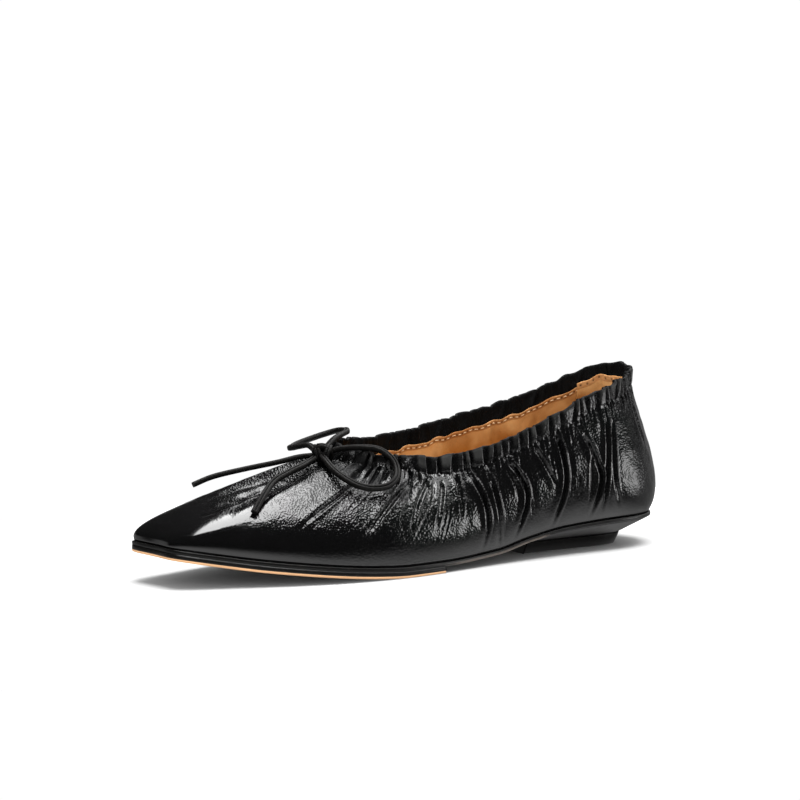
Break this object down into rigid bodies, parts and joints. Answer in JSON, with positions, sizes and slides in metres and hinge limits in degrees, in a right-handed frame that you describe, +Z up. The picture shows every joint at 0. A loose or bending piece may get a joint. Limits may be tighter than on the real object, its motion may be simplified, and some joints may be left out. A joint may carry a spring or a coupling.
{
  "type": "ballet flat",
  "caption": "Slip-on ballet flat in black crinkled patent leather with a soft square toe, gathered elastic collar, small bow, thin sole and low flared heel; a left shoe.",
  "frame": {"origin": "on the floor, under the middle of the shoe's length and width", "axes": "+Y from toe to heel, +X towards the outer side of the foot, +Z up"},
  "size_m": [0.0781, 0.2508, 0.0802],
  "materials": {
    "patent_leather": "crinkled black patent",
    "tan_leather": "smooth tan",
    "black_edge": "satin black",
    "tan_sole": "matt natural tan with a black edge"
  },
  "bodies": {
    "root": {"upper": "patent_leather", "insole": "tan_leather", "outsole": "black_edge", "forefoot_sole": "tan_sole", "heel": "black_edge", "top_lift": "black_edge", "bow_knot": "patent_leather", "bow_loop_outer": "patent_leather", "bow_loop_inner": "patent_leather", "bow_tail_outer": "patent_leather", "bow_tail_inner": "patent_leather"}
  },
  "joints": []
}
